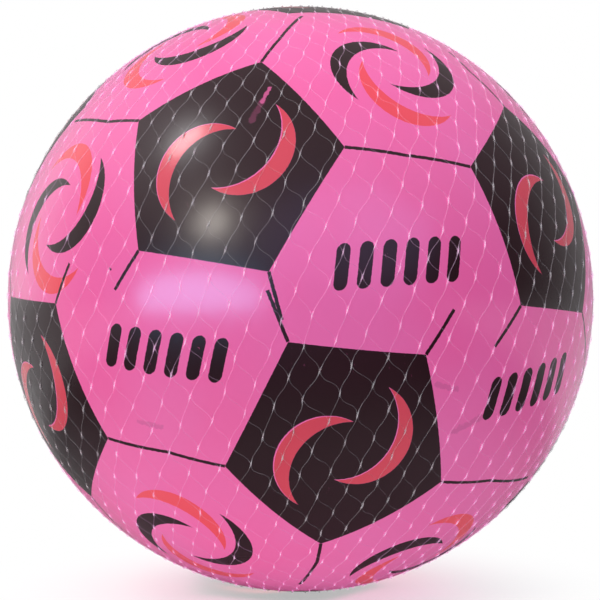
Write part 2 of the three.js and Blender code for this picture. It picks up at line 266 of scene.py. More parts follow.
def new_piece(name, points, *faces):
    """A smooth mesh object at the origin, from points and some arrays of face corners."""
    mesh = bpy.data.meshes.new(name)
    mesh.from_pydata(points.reshape(-1, 3), [], [face for part in faces for face in part.tolist()])
    mesh.polygons.foreach_set("use_smooth", np.ones(len(mesh.polygons), bool))
    mesh.update()
    piece = bpy.data.objects.new(name, mesh)
    bpy.context.scene.collection.objects.link(piece)
    return piece


def corner_points(mesh):
    """The number of the point at every corner of every face."""
    corner = np.empty(len(mesh.loops), np.int32)
    mesh.loops.foreach_get("vertex_index", corner)
    return corner


def lay_map(mesh, name, place):
    mesh.uv_layers.new(name=name).data.foreach_set("uv", place.ravel())


def grid_faces(rows, columns, closed_along=False):
    """The quads of a grid of points, row by row, closed round across it and maybe along it."""
    row = np.arange(rows if closed_along else rows - 1)[:, None]
    column = np.arange(columns)
    next_row, next_column = (row + 1) % rows, (column + 1) % columns
    corners = [row * columns + column, row * columns + next_column,
               next_row * columns + next_column, next_row * columns + column]
    return np.stack(corners, -1).reshape(-1, 4)


def lathe(profile, sides):
    """A profile of (radius, height) pairs turned about the valve's axis.

    A point is centre + axis * height + radius * (cos of the turn * one side of the axis
    + sin of the turn * the other side).
    """
    first = unit(np.cross(VALVE_AXIS, np.array([1.0, 0.0, 0.0])))
    second = np.cross(VALVE_AXIS, first)
    turn = np.linspace(0, 2 * math.pi, sides, endpoint=False)
    ring = np.cos(turn)[:, None] * first + np.sin(turn)[:, None] * second
    radius, height = profile.T[:, :, None, None]
    return BALL_CENTRE + height * VALVE_AXIS + radius * ring


def rounded(ring, radius, closed=False, steps=4):
    """A profile with each corner rounded off by a curve.

    The curve leaves one edge at radius before the corner and meets the next at radius after
    it: start * (1-t)^2 + corner * 2t(1-t) + end * t^2. An open profile keeps its two ends.
    """
    ring = np.array(ring, float)
    before, after = np.roll(ring, 1, axis=0), np.roll(ring, -1, axis=0)
    t = np.linspace(0, 1, steps)[:, None]

    def step_to(other):
        away = other - ring
        length = np.linalg.norm(away, axis=1, keepdims=True)
        return ring + away * np.minimum(radius / length, 0.45)

    start, end = step_to(before)[:, None], step_to(after)[:, None]
    curve = start * (1 - t) ** 2 + ring[:, None] * 2 * t * (1 - t) + end * t ** 2
    if closed:
        return curve.reshape(-1, 2)
    return np.vstack([ring[:1], curve[1:-1].reshape(-1, 2), ring[-1:]])


# The net's own axes, as its necks give them

def up_from_front(degrees):
    """A direction in the plane of the front and both necks, turned up from the front."""
    rising = np.array([-math.sin(NET_LEAN), 0, math.cos(NET_LEAN)])
    return FRONT * math.cos(math.radians(degrees)) + rising * math.sin(math.radians(degrees))


TOP_NECK = up_from_front(TOP_NECK_DEG)
BOTTOM_NECK = up_from_front(-BOTTOM_NECK_DEG)
NET_FRONT = up_from_front((TOP_NECK_DEG - BOTTOM_NECK_DEG) / 2)
NET_AXIS = up_from_front((TOP_NECK_DEG - BOTTOM_NECK_DEG) / 2 + 90)
NET_SIDE = np.cross(NET_AXIS, NET_FRONT)
CHORD_BACK = -math.cos(math.radians((TOP_NECK_DEG + BOTTOM_NECK_DEG) / 2))


def net_circle(forward, aside):
    """The circle in which a plane through both necks cuts the ball.

    Forward and aside give the plane's way out from the line between the necks. The results
    are that way as a direction, the circle's middle and radius, and half the angle along it
    from collar to collar.
    """
    outward = unit(np.multiply.outer(forward, NET_FRONT) + np.multiply.outer(aside, NET_SIDE))
    depth = -CHORD_BACK * (outward @ NET_FRONT)
    middle = -CHORD_BACK * NET_FRONT - outward * depth[..., None]
    radius = np.sqrt(1 - (middle ** 2).sum(-1))
    half_span = np.arccos(depth / radius) - COLLAR_RADIUS / (NET_RADIUS * radius)
    return outward, middle, radius, half_span


def net_direction(angle, along):
    """A unit direction on the net, at an angle round it and a share along it.

    The ball is cut by the plane through both necks and the equator's point at this angle from
    the net's front. On that circle, along runs from -1 at the bottom collar to 1 at the top.
    """
    outward, middle, radius, half_span = net_circle(np.cos(angle) + CHORD_BACK, np.sin(angle))
    swing = along * half_span
    return (middle + outward * (radius * np.cos(swing))[..., None]
            + NET_AXIS * (radius * np.sin(swing))[..., None])


def place_on_net(point):
    """The angle and the share along the net of one unit direction."""
    forward, aside = point @ NET_FRONT + CHORD_BACK, point @ NET_SIDE
    outward, _, _, half_span = net_circle(forward, aside)
    turn = math.asin(CHORD_BACK * aside / math.hypot(forward, aside))
    return (math.atan2(aside, forward) + turn,
            math.atan2(point @ NET_AXIS, point @ outward) / half_span)


# The skin

VALVE_AXIS = unit(np.array(frame["joints"][0]["axis"], float))
OUTER_RINGS = 190
INNER_RINGS = 24
SKIN_SIDES = 256


def skin_piece(pads, turns, swirls, marks):
    """The hollow skin, a shell about the valve's axis, with the print's maps on its outside.

    Rings of constant angle from the valve run from the hole to the far pole outside, and back
    to the hole inside, at the ball's radius and at that less the wall.
    """
    def arc(radius, rings):
        angle = np.linspace(math.asin(HOLE_RADIUS / radius), math.pi, rings)[:-1]
        return radius * np.stack([np.sin(angle), np.cos(angle)], -1)

    inner_radius = BALL_RADIUS - SKIN_WALL
    profile = np.vstack([arc(BALL_RADIUS, OUTER_RINGS)[::-1], arc(inner_radius, INNER_RINGS)])
    rings = lathe(profile, SKIN_SIDES)
    poles = BALL_CENTRE - VALVE_AXIS * np.array([[BALL_RADIUS], [inner_radius]])
    points = np.vstack([rings.reshape(-1, 3), poles])
    side = np.arange(SKIN_SIDES)
    after = np.roll(side, -1)
    last = (len(profile) - 1) * SKIN_SIDES
    pole = np.full(SKIN_SIDES, last + SKIN_SIDES)
    piece = new_piece("printed_skin", points, grid_faces(len(profile), SKIN_SIDES),
                      np.stack([pole, after, side], -1),
                      np.stack([pole + 1, last + side, last + after], -1))
    mesh = piece.data

    corner = corner_points(mesh)
    totals = np.empty(len(mesh.polygons), np.int32)
    mesh.polygons.foreach_get("loop_total", totals)
    owner = np.repeat(np.arange(len(totals)), totals)
    heading = unit(points - BALL_CENTRE)[corner]
    middle = unit(np.stack([np.bincount(owner, heading[:, k]) for k in range(3)], -1))

    def lay(name, fields, slip=np.zeros(3)):
        """A map from the field that is nearest to each face."""
        near = np.argmax(middle @ np.array([axis for axis, _ in fields]).T, axis=1)[owner]
        shifted = unit(heading * BALL_RADIUS - slip)
        place = np.zeros((len(corner), 2))
        for index, (axis, turn) in enumerate(fields):
            here = near == index
            place[here] = place_on_field(shifted[here], axis, turn)
        lay_map(mesh, name, place)

    def lay_lines(name, starts, ends, rank):
        """A map from the seam line that is nearest to each face, or next nearest with rank 1.

        It gives the share along the line's great circle, -1 and 1 at its ends, and the
        distance aside from it in millimetres.
        """
        beside, centre = unit(np.cross(starts, ends)), unit(starts + ends)
        onward = np.cross(beside, centre)
        half = np.arccos((starts * centre).sum(-1))
        swing = np.arctan2(middle @ onward.T, middle @ centre.T)
        away = np.hypot(np.maximum(np.abs(swing) - half, 0), middle @ beside.T)
        near = np.argsort(away, axis=1)[:, rank][owner]
        swing = np.arctan2((heading * onward[near]).sum(-1), (heading * centre[near]).sum(-1))
        aside = (heading * beside[near]).sum(-1) * RADIUS_MM
        lay_map(mesh, name, np.stack([swing / half[near], aside], -1))

    inked = list(zip(pads, turns))
    lay("pad", inked)
    lay("pad_red", inked, RED_SLIP)
    lay("swirl", swirls)
    lay("swirl_red", swirls, RED_SLIP)
    lay("mark", marks)
    starts, ends = seam_lines(pads, turns)
    lay_lines("seam", starts, ends, 0)
    lay_lines("seam_beside", starts, ends, 1)
    return piece


# The net

def tube_mesh(name, paths, radii, sides, lit=None):
    """Many tubes in one mesh: a ring of points round each step of each path.

    At each step the ring lies across the path, on two unit directions: the one away from the
    ball's centre made square to the path, and the one square to both. The run map holds the
    share of painted glow, a stand-in for the skin's light seen through the strand (0 unless
    given), and the share along.
    """
    count, steps = paths.shape[:2]
    forward = unit(np.gradient(paths, axis=1))
    out = unit(paths - BALL_CENTRE)
    out = unit(out - forward * (out * forward).sum(-1, keepdims=True))
    side = np.cross(forward, out)
    turn = np.linspace(0, 2 * math.pi, sides, endpoint=False) + math.pi / sides
    ring = (out[:, :, None] * np.cos(turn)[:, None] + side[:, :, None] * np.sin(turn)[:, None])
    radii = np.broadcast_to(radii, (count, steps))[..., None, None]
    points = paths[:, :, None] + ring * radii
    share = np.linspace(0, 1, steps)
    start, cap = np.arange(count)[:, None] * steps * sides, np.arange(sides)
    piece = new_piece(name, points, (grid_faces(steps, sides) + start[..., None]).reshape(-1, 4),
                      cap[::-1] + start, cap + (steps - 1) * sides + start)
    corner = corner_points(piece.data)
    # Painted glow: the share of the skin's pink that the strand emits, as if light came through
    # it.
    through = lit(points.reshape(-1, 3)) if lit else np.zeros(points.size // 3)
    lay_map(piece.data, "run", np.stack([through[corner], share[corner // sides % steps]], -1))
    return piece


def smooth_noise(angle, along, size, waves=7):
    """A gentle wander over the net: a sum of seeded sine waves round it and along it."""
    total = np.zeros(np.broadcast(angle, along).shape)
    for _ in range(waves):
        turns, rows = chance.integers(1, 7), chance.uniform(1.5, 7)
        phase = chance.uniform(0, 2 * math.pi)
        total = total + np.sin(turns * angle + rows * along + phase)
    return total * size / math.sqrt(waves)


def net_knots():
    """The knots: rows from collar to collar, each half a mesh round from the last.

    The rows climb round the ball and the columns wind a little, as a net does that is drawn
    over a ball by hand. All knots wander, but near the collars and the valve, which lies in
    the middle of a mesh.
    """
    valve_angle, valve_along = place_on_net(VALVE_AXIS)
    rows = np.arange(NET_ROWS + 1)[:, None]
    columns = np.arange(NET_COLUMNS) + 0.5 * (rows % 2)
    along = -1 + 2 * rows / NET_ROWS + 0 * columns
    valve_hold = 1 - valve_along ** 2
    level = valve_along - NET_SHEAR * math.sin(valve_angle) * valve_hold
    valve_row = (level + 1) * NET_ROWS / 2
    nearest = round(valve_row)
    along = along + (valve_row - nearest) * 2 / NET_ROWS * (1 - along ** 2) / valve_hold
    mesh_turn = 2 * math.pi / NET_COLUMNS
    phase = valve_angle - NET_TWIST * valve_along - 0.5 * mesh_turn * (1 + nearest % 2)
    angle = phase + mesh_turn * columns + NET_TWIST * along
    hold = np.clip(1 - along ** 2, 0, 1)
    valve_away = np.abs(np.angle(np.exp(1j * (angle - valve_angle))))
    calm = hold * np.clip(valve_away * 3, 0, 1)
    along = along + NET_SHEAR * np.sin(angle) * hold
    angle = angle + smooth_noise(angle, along, 0.014) * calm
    along = along + smooth_noise(angle, along, 0.005) * calm
    angle = angle + chance.normal(0, 0.0045, angle.shape) * calm
    along = along + chance.normal(0, 0.0022, angle.shape) * calm
    return angle, along


def strand_paths(angle, along, lean, sway, lift):
    """Paths from each knot to the one above it on the left (lean -1) or right (lean 1).

    Each follows the net between its knots, swings aside by sway * sin(2 pi t), and lies on
    the skin with its underside, so it stands lift above the ball's surface.
    """
    low = np.arange(NET_ROWS)[:, None]
    column = np.arange(NET_COLUMNS)
    step = (low % 2 if lean > 0 else low % 2 - 1) + 0 * column
    target = (column + step) % NET_COLUMNS
    wrap = 2 * math.pi * ((column + step) // NET_COLUMNS)
    end_angle = angle[low + 1, target] + wrap
    end_along = along[low + 1, target]
    t = np.linspace(0, 1, STRAND_STEPS)
    from_angle, from_along = angle[:-1, :, None], along[:-1, :, None]
    path_angle = from_angle + (end_angle[..., None] - from_angle) * t
    path_along = from_along + (end_along[..., None] - from_along) * t
    heading = net_direction(path_angle, path_along).reshape(-1, STRAND_STEPS, 3)
    across = unit(np.cross(heading, np.gradient(heading, axis=1)))
    amount = sway * (1 + 0.35 * chance.normal(size=(len(heading), 1, 1)))
    span = np.linalg.norm(heading[:, -1] - heading[:, 0], axis=-1)[:, None, None]
    heading = heading + across * np.sin(2 * math.pi * t)[:, None] * amount * span
    return BALL_CENTRE + unit(heading) * (BALL_RADIUS + lift)[:, None]


def net_pieces(pads, turns):
    """The net's two families of strands: steep ones that swell at each knot, and thin links.

    A strand's radius is thin + (knot - thin) * exp(-(distance from its nearer end / swell)^2).
    """
    angle, along = net_knots()
    t = np.linspace(0, 1, STRAND_STEPS)
    # How much painted glow each strand point gets: full over the pink skin, none over the black
    # pads.
    lit = functools.partial(lit_by_skin, pads=pads, turns=turns)
    pieces = []
    for name, lean, sway, thin, knot, swell in FAMILIES:
        radius = thin + (knot - thin) * np.exp(-(np.minimum(t, 1 - t) / swell) ** 2)
        paths = strand_paths(angle, along, lean, sway, radius + NET_GAP)
        pieces.append(tube_mesh(name, paths, radius, 4, lit))
    return pieces, angle, along


# The gathered necks

NECK_FOOT = NET_RADIUS + 0.0012
CLIP_FOOT = NET_RADIUS + 0.0015
CLIP_HEIGHT = 0.0034
BEND_RADIUS = 0.0036
BEND_ANGLE = math.radians(75)
TAIL_LENGTH = 0.0068
BUNDLE_RADIUS = 0.0017
TAIL_RADIUS = 0.0031
TAIL_RAGGED = 0.2
NECK_STRAND = 0.00021
NECK_LIFT = 0.0003
BAND_INNER = 0.0023
BAND_OUTER = 0.0032
BAND_ROUNDING = 0.00025
HALF_SLIT_DEG = 8


def neck_sides(neck):
    """The two unit directions across a neck: towards the ball's back, and aside of it."""
    back = unit(-FRONT - neck * (-FRONT @ neck))
    return back, np.cross(neck, back)


def neck_strands(name, neck, angle, along):
    """The strands of one neck, gathered from the collar through the clip into a loose tail.

    Each strand starts at its knot on the collar, keeps its bearing about the neck while its
    distance from the neck shrinks, runs straight through the clip, and follows the tail's
    bend: a circle arc, then a straight. Its share of the bundle's radius is its own.
    """
    start = net_direction(angle, along)
    back, aside = neck_sides(neck)
    bearing = np.arctan2(start @ aside, start @ back)
    reach = np.arccos(np.clip(start @ neck, -1, 1)) * BALL_RADIUS
    share = np.sqrt((np.arange(len(bearing)) * 0.618 + 0.3) % 1)

    surface = BALL_RADIUS + NECK_LIFT
    climb = np.linspace(0, 1, 9)[:, None]
    ease = climb ** 1.4
    gathered = BUNDLE_RADIUS * share
    distance = reach * (1 - ease) + gathered * ease
    top = NECK_FOOT + NECK_LIFT
    height = np.sqrt(surface ** 2 - distance ** 2)
    height = height + (top - height) * climb ** 5
    straight = np.linspace(0, 1, 4)[1:, None]
    clip_top = CLIP_FOOT + CLIP_HEIGHT + NECK_LIFT
    distance = np.vstack([distance] + [gathered] * 3)
    height = np.vstack([height, top + (clip_top - top) * straight + 0 * share])

    radial = back * np.cos(bearing)[:, None] + aside * np.sin(bearing)[:, None]
    lower = neck * height[..., None] + radial * distance[..., None]

    turn = np.linspace(0, BEND_ANGLE, 6)[1:]
    onward = np.linspace(0, 1, 4)[1:]
    bend_turn = np.concatenate([turn, np.full(3, BEND_ANGLE)])
    slide = np.concatenate([np.zeros(5), onward * TAIL_LENGTH])
    ahead = np.cos(bend_turn)[:, None] * neck + np.sin(bend_turn)[:, None] * back
    across = np.cos(bend_turn)[:, None] * back - np.sin(bend_turn)[:, None] * neck
    line = (neck * clip_top + back * BEND_RADIUS - across * BEND_RADIUS
            + ahead * slide[:, None])
    flare = BUNDLE_RADIUS + (TAIL_RADIUS - BUNDLE_RADIUS) * np.linspace(0, 1, 8) ** 1.3
    cut_off = TAIL_RAGGED * chance.random(len(share))
    spread = (share * flare[:, None])[..., None]
    ring = across[:, None] * np.cos(bearing)[:, None] + aside * np.sin(bearing)[:, None]
    upper = line[:, None] + ring * spread
    upper[-3:] -= ahead[-3:, None] * (slide[-3:, None] * cut_off)[..., None]
    paths = BALL_CENTRE + np.concatenate([lower, upper]).transpose(1, 0, 2)
    return tube_mesh(name, paths, NECK_STRAND, 5)


def clip_band(name, neck):
    """A flat band bent round a neck, its two ends meeting at a narrow slit.

    The band's section is a rounded oblong. It is carried round an arc of 344 degrees, and
    the ends are closed.
    """
    top = CLIP_FOOT + CLIP_HEIGHT
    section = rounded([(BAND_INNER, CLIP_FOOT), (BAND_OUTER, CLIP_FOOT), (BAND_OUTER, top),
                       (BAND_INNER, top)], BAND_ROUNDING, closed=True)
    back, aside = neck_sides(neck)
    turn = np.radians(np.linspace(HALF_SLIT_DEG, 360 - HALF_SLIT_DEG, 73))
    ring = np.cos(turn)[:, None] * back + np.sin(turn)[:, None] * aside
    points = BALL_CENTRE + section[:, 1, None] * neck + section[:, 0, None] * ring[:, None]
    end = np.arange(len(section))[None]
    return new_piece(name, points, grid_faces(len(turn), len(section))[:, ::-1], end,
                     (len(turn) - 1) * len(section) + end[:, ::-1])


# The valve

BORE, RECESS, SLEEVE, FLANGE = 0.0017, 0.0036, 0.005, 0.009
PLUG_TIP, PLUG_STEM, PLUG_DISH, PLUG_HEAD = 0.0011, 0.0015, 0.0022, 0.0034
PIN_POINT = 0.00002
VALVE_GAP = 0.0002
SLEEVE_LENGTH = 0.013
FLANGE_THICKNESS = 0.0012
PLUG_STEM_LENGTH = 0.010
MOUTH = math.sqrt(BALL_RADIUS ** 2 - SLEEVE ** 2)
PLUG_SEAT = MOUTH - 0.0014
VALVE_SIDES = 72


def valve_sleeve():
    """The soft sleeve: a closed profile of bore, recess, mouth and flange, turned round."""
    inner = BALL_RADIUS - SKIN_WALL
    flange_top = math.sqrt(inner ** 2 - FLANGE ** 2) - VALVE_GAP
    flange_root = math.sqrt(inner ** 2 - SLEEVE ** 2) - VALVE_GAP
    flange_foot = flange_top - FLANGE_THICKNESS
    foot, floor = MOUTH - SLEEVE_LENGTH, PLUG_SEAT - VALVE_GAP
    profile = rounded([
        (BORE, foot), (SLEEVE, foot), (SLEEVE, flange_foot), (FLANGE, flange_foot),
        (FLANGE, flange_top), (SLEEVE, flange_root), (SLEEVE, MOUTH), (RECESS, MOUTH),
        (RECESS, floor), (BORE, floor)], 0.00022, closed=True)
    return new_piece("soft_valve", lathe(profile, VALVE_SIDES),
                     grid_faces(len(profile), VALVE_SIDES, True))


def valve_plug():
    """The push-in plug: tip, stem and head, with a shallow thumb dish in the head."""
    top, tip = MOUTH - VALVE_GAP, PLUG_SEAT - PLUG_STEM_LENGTH
    profile = rounded([
        (PIN_POINT, tip), (PLUG_TIP, tip), (PLUG_STEM, tip + 0.0015), (PLUG_STEM, PLUG_SEAT),
        (PLUG_HEAD, PLUG_SEAT), (PLUG_HEAD, top), (PLUG_DISH + 0.0004, top),
        (PLUG_DISH, top - 0.00025), (PIN_POINT, top - 0.00035)], 0.0002)
    end = np.arange(VALVE_SIDES)[None]
    return new_piece("push_in_plug", lathe(profile, VALVE_SIDES),
                     grid_faces(len(profile), VALVE_SIDES), end[:, ::-1],
                     (len(profile) - 1) * VALVE_SIDES + end)


# Shader building

WHITE = (1.0, 1.0, 1.0, 1.0)


def linear(code):
    """A written colour, such as #ee5ba3, as the linear colour that a shader takes."""
    parts = np.array([int(code[k:k + 2], 16) for k in (1, 3, 5)]) / 255
    below = parts / 12.92
    above = ((parts + 0.055) / 1.055) ** 2.4
    return (*np.where(parts <= 0.04045, below, above).tolist(), 1.0)


class Wiring:
    """Adds nodes to a tree and wires plain numbers, vectors or other nodes' outputs in."""

    def __init__(self, tree):
        self.tree = tree

    def fill(self, socket, value):
        if isinstance(value, bpy.types.NodeSocket):
            self.tree.links.new(value, socket)
        else:
            socket.default_value = value

    def feed(self, sockets, **values):
        """Fills sockets by their names, with _ for each space, and gives back the tree."""
        for key, value in values.items():
            self.fill(sockets[key.replace("_", " ")], value)
        return self.tree

    def node(self, kind, inputs=None, **settings):
        made = self.tree.nodes.new(kind)
        for key, value in settings.items():
            setattr(made, key, value)
        for key, value in (inputs or {}).items():
            self.fill(made.inputs[key], value)
        return made

    def use(self, group, **inputs):
        """The outputs of a node group with these inputs."""
        return self.node("ShaderNodeGroup", inputs, node_tree=group).outputs

    def where(self):
        return self.node("ShaderNodeTexCoord").outputs["Object"]

    def uv(self, name):
        return self.node("ShaderNodeUVMap", uv_map=name).outputs["UV"]

    def parts(self, place):
        return self.node("ShaderNodeSeparateXYZ", {0: place}).outputs

    def math(self, operation, *values):
        made = self.node("ShaderNodeMath", dict(enumerate(values)), operation=operation)
        return made.outputs[0]

    plus = functools.partialmethod(math, "ADD")
    minus = functools.partialmethod(math, "SUBTRACT")
    times = functools.partialmethod(math, "MULTIPLY")

    def most(self, *values):
        """The largest of two or more values."""
        return functools.reduce(functools.partial(self.math, "MAXIMUM"), values)

    def between(self, share, first, second):
        """first + share * (second - first)"""
        return self.plus(first, self.times(share, self.minus(second, first)))

    def vector(self, operation, *values):
        made = self.node("ShaderNodeVectorMath", dict(enumerate(values)), operation=operation)
        number = operation in ("LENGTH", "DISTANCE", "DOT_PRODUCT")
        return made.outputs["Value" if number else "Vector"]

    def scaled(self, place, by):
        made = self.node("ShaderNodeVectorMath", {0: place, "Scale": by}, operation="SCALE")
        return made.outputs["Vector"]

    def mix(self, share, first, second):
        inputs = {0: share, 6: first, 7: second}
        return self.node("ShaderNodeMix", inputs, data_type="RGBA").outputs[2]

    def tint(self, share, pair):
        """A colour between two written ones."""
        return self.mix(share, *map(linear, pair))

    def step(self, value, low, high, to_low=0.0, to_high=1.0):
        """A smooth step from to_low at low to to_high at high."""
        made = self.node("ShaderNodeMapRange", {
            "Value": value, "From Min": low, "From Max": high, "To Min": to_low,
            "To Max": to_high}, interpolation_type="SMOOTHSTEP")
        return made.outputs["Result"]

    def noise(self, place, scale, detail=2.0, roughness=0.5, stretch=None):
        if stretch is not None:
            place = self.vector("MULTIPLY", place, stretch)
        made = self.node("ShaderNodeTexNoise", {
            "Vector": place, "Scale": scale, "Detail": detail, "Roughness": roughness})
        return made.outputs["Fac"]

    def bump(self, height, strength, depth):
        made = self.node("ShaderNodeBump", {
            "Height": height, "Strength": strength, "Distance": depth})
        return made.outputs["Normal"]


def new_group(name, vectors, numbers=(), results=("Outside",)):
    """A node group. Its inputs are vectors and then numbers, and its results are numbers."""
    tree = bpy.data.node_groups.new(name, "ShaderNodeTree")
    for names, side, kind in ((vectors, "INPUT", "Vector"), (numbers, "INPUT", "Float"),
                              (results, "OUTPUT", "Float")):
        for socket in names:
            tree.interface.new_socket(socket, in_out=side, socket_type="NodeSocket" + kind)
    w = Wiring(tree)
    return w, w.node("NodeGroupInput").outputs, w.node("NodeGroupOutput").inputs


def crescent_pair_group():
    """How far a place is outside a crescent or the same crescent turned half round.

    A crescent is what is inside a circle about its middle and outside a larger circle that
    is centred behind it: the larger of (distance from middle - radius) and
    (hollow radius - distance from the point behind). The nearer of the two counts.
    """
    w, given, result = new_group("crescent_pair", ["Place", "Middle", "Behind"])
    sides = []
    for place in (given["Place"], w.scaled(given["Place"], -1.0)):
        outer = w.minus(w.vector("DISTANCE", place, given["Middle"]), CRESCENT_RADIUS)
        hollow = w.minus(CRESCENT_HOLLOW_RADIUS, w.vector("DISTANCE", place, given["Behind"]))
        sides.append(w.most(outer, hollow))
    return w.feed(result, Outside=w.math("MINIMUM", *sides))


def pentagon_group():
    """How far a place is outside a pad.

    The angle about the pad's middle is folded into the fifth that holds the nearest corner:
    reach * cos(36 - angle from that corner) - the corner's reach * cos 36.
    """
    w, given, result = new_group("pentagon", ["Place"])
    parts = w.parts(given["Place"])
    angle = w.math("ARCTAN2", parts["X"], parts["Y"])
    folded = w.math("WRAP", angle, HALF_FIFTH, -HALF_FIFTH)
    from_side = w.minus(HALF_FIFTH, w.math("ABSOLUTE", folded))
    edge = w.times(w.vector("LENGTH", given["Place"]), w.math("COSINE", from_side))
    return w.feed(result, Outside=w.minus(edge, PAD_REACH * math.cos(HALF_FIFTH)))


def seam_group():
    """How far a place is outside a seam line, from its share along the line and its aside.

    The larger of (distance aside - half width) and (share beyond an end * half length).
    """
    w, given, result = new_group("seam_line", ["Place"])
    parts = w.parts(given["Place"])
    beside = w.minus(w.math("ABSOLUTE", parts["Y"]), SEAM_HALF_WIDTH)
    beyond = w.minus(w.math("ABSOLUTE", parts["X"]), 1.0)
    return w.feed(result, Outside=w.most(beside, w.times(beyond, SEAM_HALF_LENGTH)))


def streak_group():
    """How far a place is from a short straight streak, in millimetres.

    The share along is (place - start) . run / run . run, kept between 0 and 1, and the
    distance is taken from start + run * share.
    """
    w, given, result = new_group("streak", ["Place", "Start", "Run"])
    from_start = w.vector("SUBTRACT", given["Place"], given["Start"])
    share = w.math("DIVIDE", w.vector("DOT_PRODUCT", from_start, given["Run"]),
                   w.vector("DOT_PRODUCT", given["Run"], given["Run"]))
    held = w.math("MINIMUM", w.most(share, 0.0), 1.0)
    away = w.vector("DISTANCE", from_start, w.scaled(given["Run"], held))
    return w.feed(result, Outside=w.times(away, 1 / MM))


BAR_PITCH = 8.3
BAR_COUNT = 6
BAR_HALF_WIDTH = 2.5
BAR_HALF_HEIGHT = 7.4
BAR_LEAN = 0.22


def mark_group():
    """How far a place is outside a row of slanted bars with round ends.

    The place is slanted (across - lean * up), wrapped to the nearest bar of the row, and its
    distance from that bar's middle line is taken, less the bar's half width.
    """
    w, given, result = new_group("slanted_bars", ["Place"])
    parts = w.parts(given["Place"])
    slanted = w.minus(parts["X"], w.times(parts["Y"], BAR_LEAN))
    number = w.math("ROUND", w.math("DIVIDE", w.plus(slanted, BAR_PITCH / 2), BAR_PITCH))
    limit = w.math("MINIMUM", w.most(number, 1.0 - BAR_COUNT / 2), BAR_COUNT / 2)
    across = w.minus(slanted, w.minus(w.times(limit, BAR_PITCH), BAR_PITCH / 2))
    straight = BAR_HALF_HEIGHT - BAR_HALF_WIDTH
    over = w.most(w.minus(w.math("ABSOLUTE", parts["Y"]), straight), 0.0)
    reach = w.math("SQRT", w.plus(w.times(across, across), w.times(over, over)))
    return w.feed(result, Outside=w.minus(reach, BAR_HALF_WIDTH))


def ink_edge_group():
    """Turns a distance outside a shape into ink: full inside, none outside.

    The edge is soft over a fifth of a millimetre and wanders by a little noise, as ink does
    that is pressed on by a soft pad.
    """
    w, given, result = new_group("ink_edge", ["Place"], ["Outside", "Wander"], ["Ink"])
    ragged = w.minus(w.noise(given["Place"], 900.0, 3.0), 0.5)
    moved = w.plus(given["Outside"], w.times(ragged, given["Wander"]))
    return w.feed(result, Ink=w.step(moved, -0.1, 0.1, 1.0, 0.0))


def scuff_group():
    """Fine scuffs: sparse patches of short streaks, and a soft cloudiness.

    A streak is a stretched noise above a high level, kept only where a broad noise is high.
    """
    w, given, result = new_group("scuffs", ["Place"], ["Amount"], ["Streaks", "Cloud"])
    place = given["Place"]
    turned = w.node("ShaderNodeMapping", {"Vector": place, "Rotation": (0.35, 0.5, 0.2)})
    streak = w.noise(turned.outputs["Vector"], 160.0, 3.0, 0.6, (9.0, 9.0, 0.8))
    patch = w.step(w.noise(place, 34.0), 0.6, 0.72)
    streaks = w.times(w.times(w.step(streak, 0.66, 0.74), patch), given["Amount"])
    return w.feed(result, Streaks=streaks, Cloud=w.noise(place, 14.0, 3.0))


CRESCENTS = crescent_pair_group()
SEAM = seam_group()
STREAK = streak_group()
PENTAGON = pentagon_group()
BARS = mark_group()
INK_EDGE = ink_edge_group()
SCUFFS = scuff_group()


# Materials. A piece wanders between the two colours of a pair.

PINK = "#f765a8", "#f46fb2"
BLACK = "#2b0b15", "#32121c"
PAD_CORAL = "#d83d54", "#e0475b"
SWIRL_CORAL = "#f44759", "#f65263"
GREY_SMEAR = "#7a4468"
# The strands' painted glow: an emission from none over the black pads to pink over bare vinyl.
STRAND_PAINTED_GLOW = "#000000", "#a95c9c"
CLEAR = "#ffe9f1", "#fff8fb"
GATHERED = "#f8f4f7", "#fff8fb"
SOFT_VINYL = "#eec4d6", "#f4d3e1"
WHITE_PLASTIC = "#f1ede8", "#f7f4f0"
ALUMINIUM = "#eceef0", "#d2d5d8"


def new_material(name, **settings):
    """A material with one Principled shader: the wiring to add to it, and its inputs."""
    material = bpy.data.materials.new(name)
    material.use_nodes = True
    w = Wiring(material.node_tree)
    shader = material.node_tree.nodes["Principled BSDF"].inputs
    w.feed(shader, **settings)
    return material, w, shader


def crescent_shape(bulge, reach=8.35, lead=70.3):
    """The middle of a crescent's circle, and the centre of the hollow behind it.

    The crescent bulges at bulge degrees about the field's middle, and the middle of its
    circle lies at reach, lead degrees on from there.
    """
    def turned(reach, degrees):
        angle = math.radians(degrees)
        return np.array([reach * math.cos(angle), reach * math.sin(angle), 0.0])

    middle = turned(reach, bulge + lead)
    return {"Middle": middle, "Behind": middle - turned(CRESCENT_HOLLOW_BACK, bulge)}


PAD_CRESCENTS = crescent_shape(158)
SWIRL_DARK = crescent_shape(0)
SWIRL_RED = crescent_shape(93.4, 9.44, 49.9)


def printed(w, group, uv, wander=0.4, **shape):
    """The ink inside the shape that a group gives on a map."""
    outside = w.use(group, Place=w.uv(uv), **shape)["Outside"]
    return w.use(INK_EDGE, Outside=outside, Place=w.where(), Wander=wander)["Ink"]


def streak(w, ends, reach):
    """A mask of a short streak between two longitudes and latitudes: full within reach."""
    start, end = (BALL_CENTRE + direction(*end) * BALL_RADIUS for end in ends)
    away = w.use(STREAK, Place=w.where(), Start=start, Run=end - start)["Outside"]
    ragged = w.times(w.minus(w.noise(w.where(), 700.0, 3.0), 0.5), reach * 2)
    return w.step(w.plus(away, ragged), reach * 0.5, reach, 1.0, 0.0)


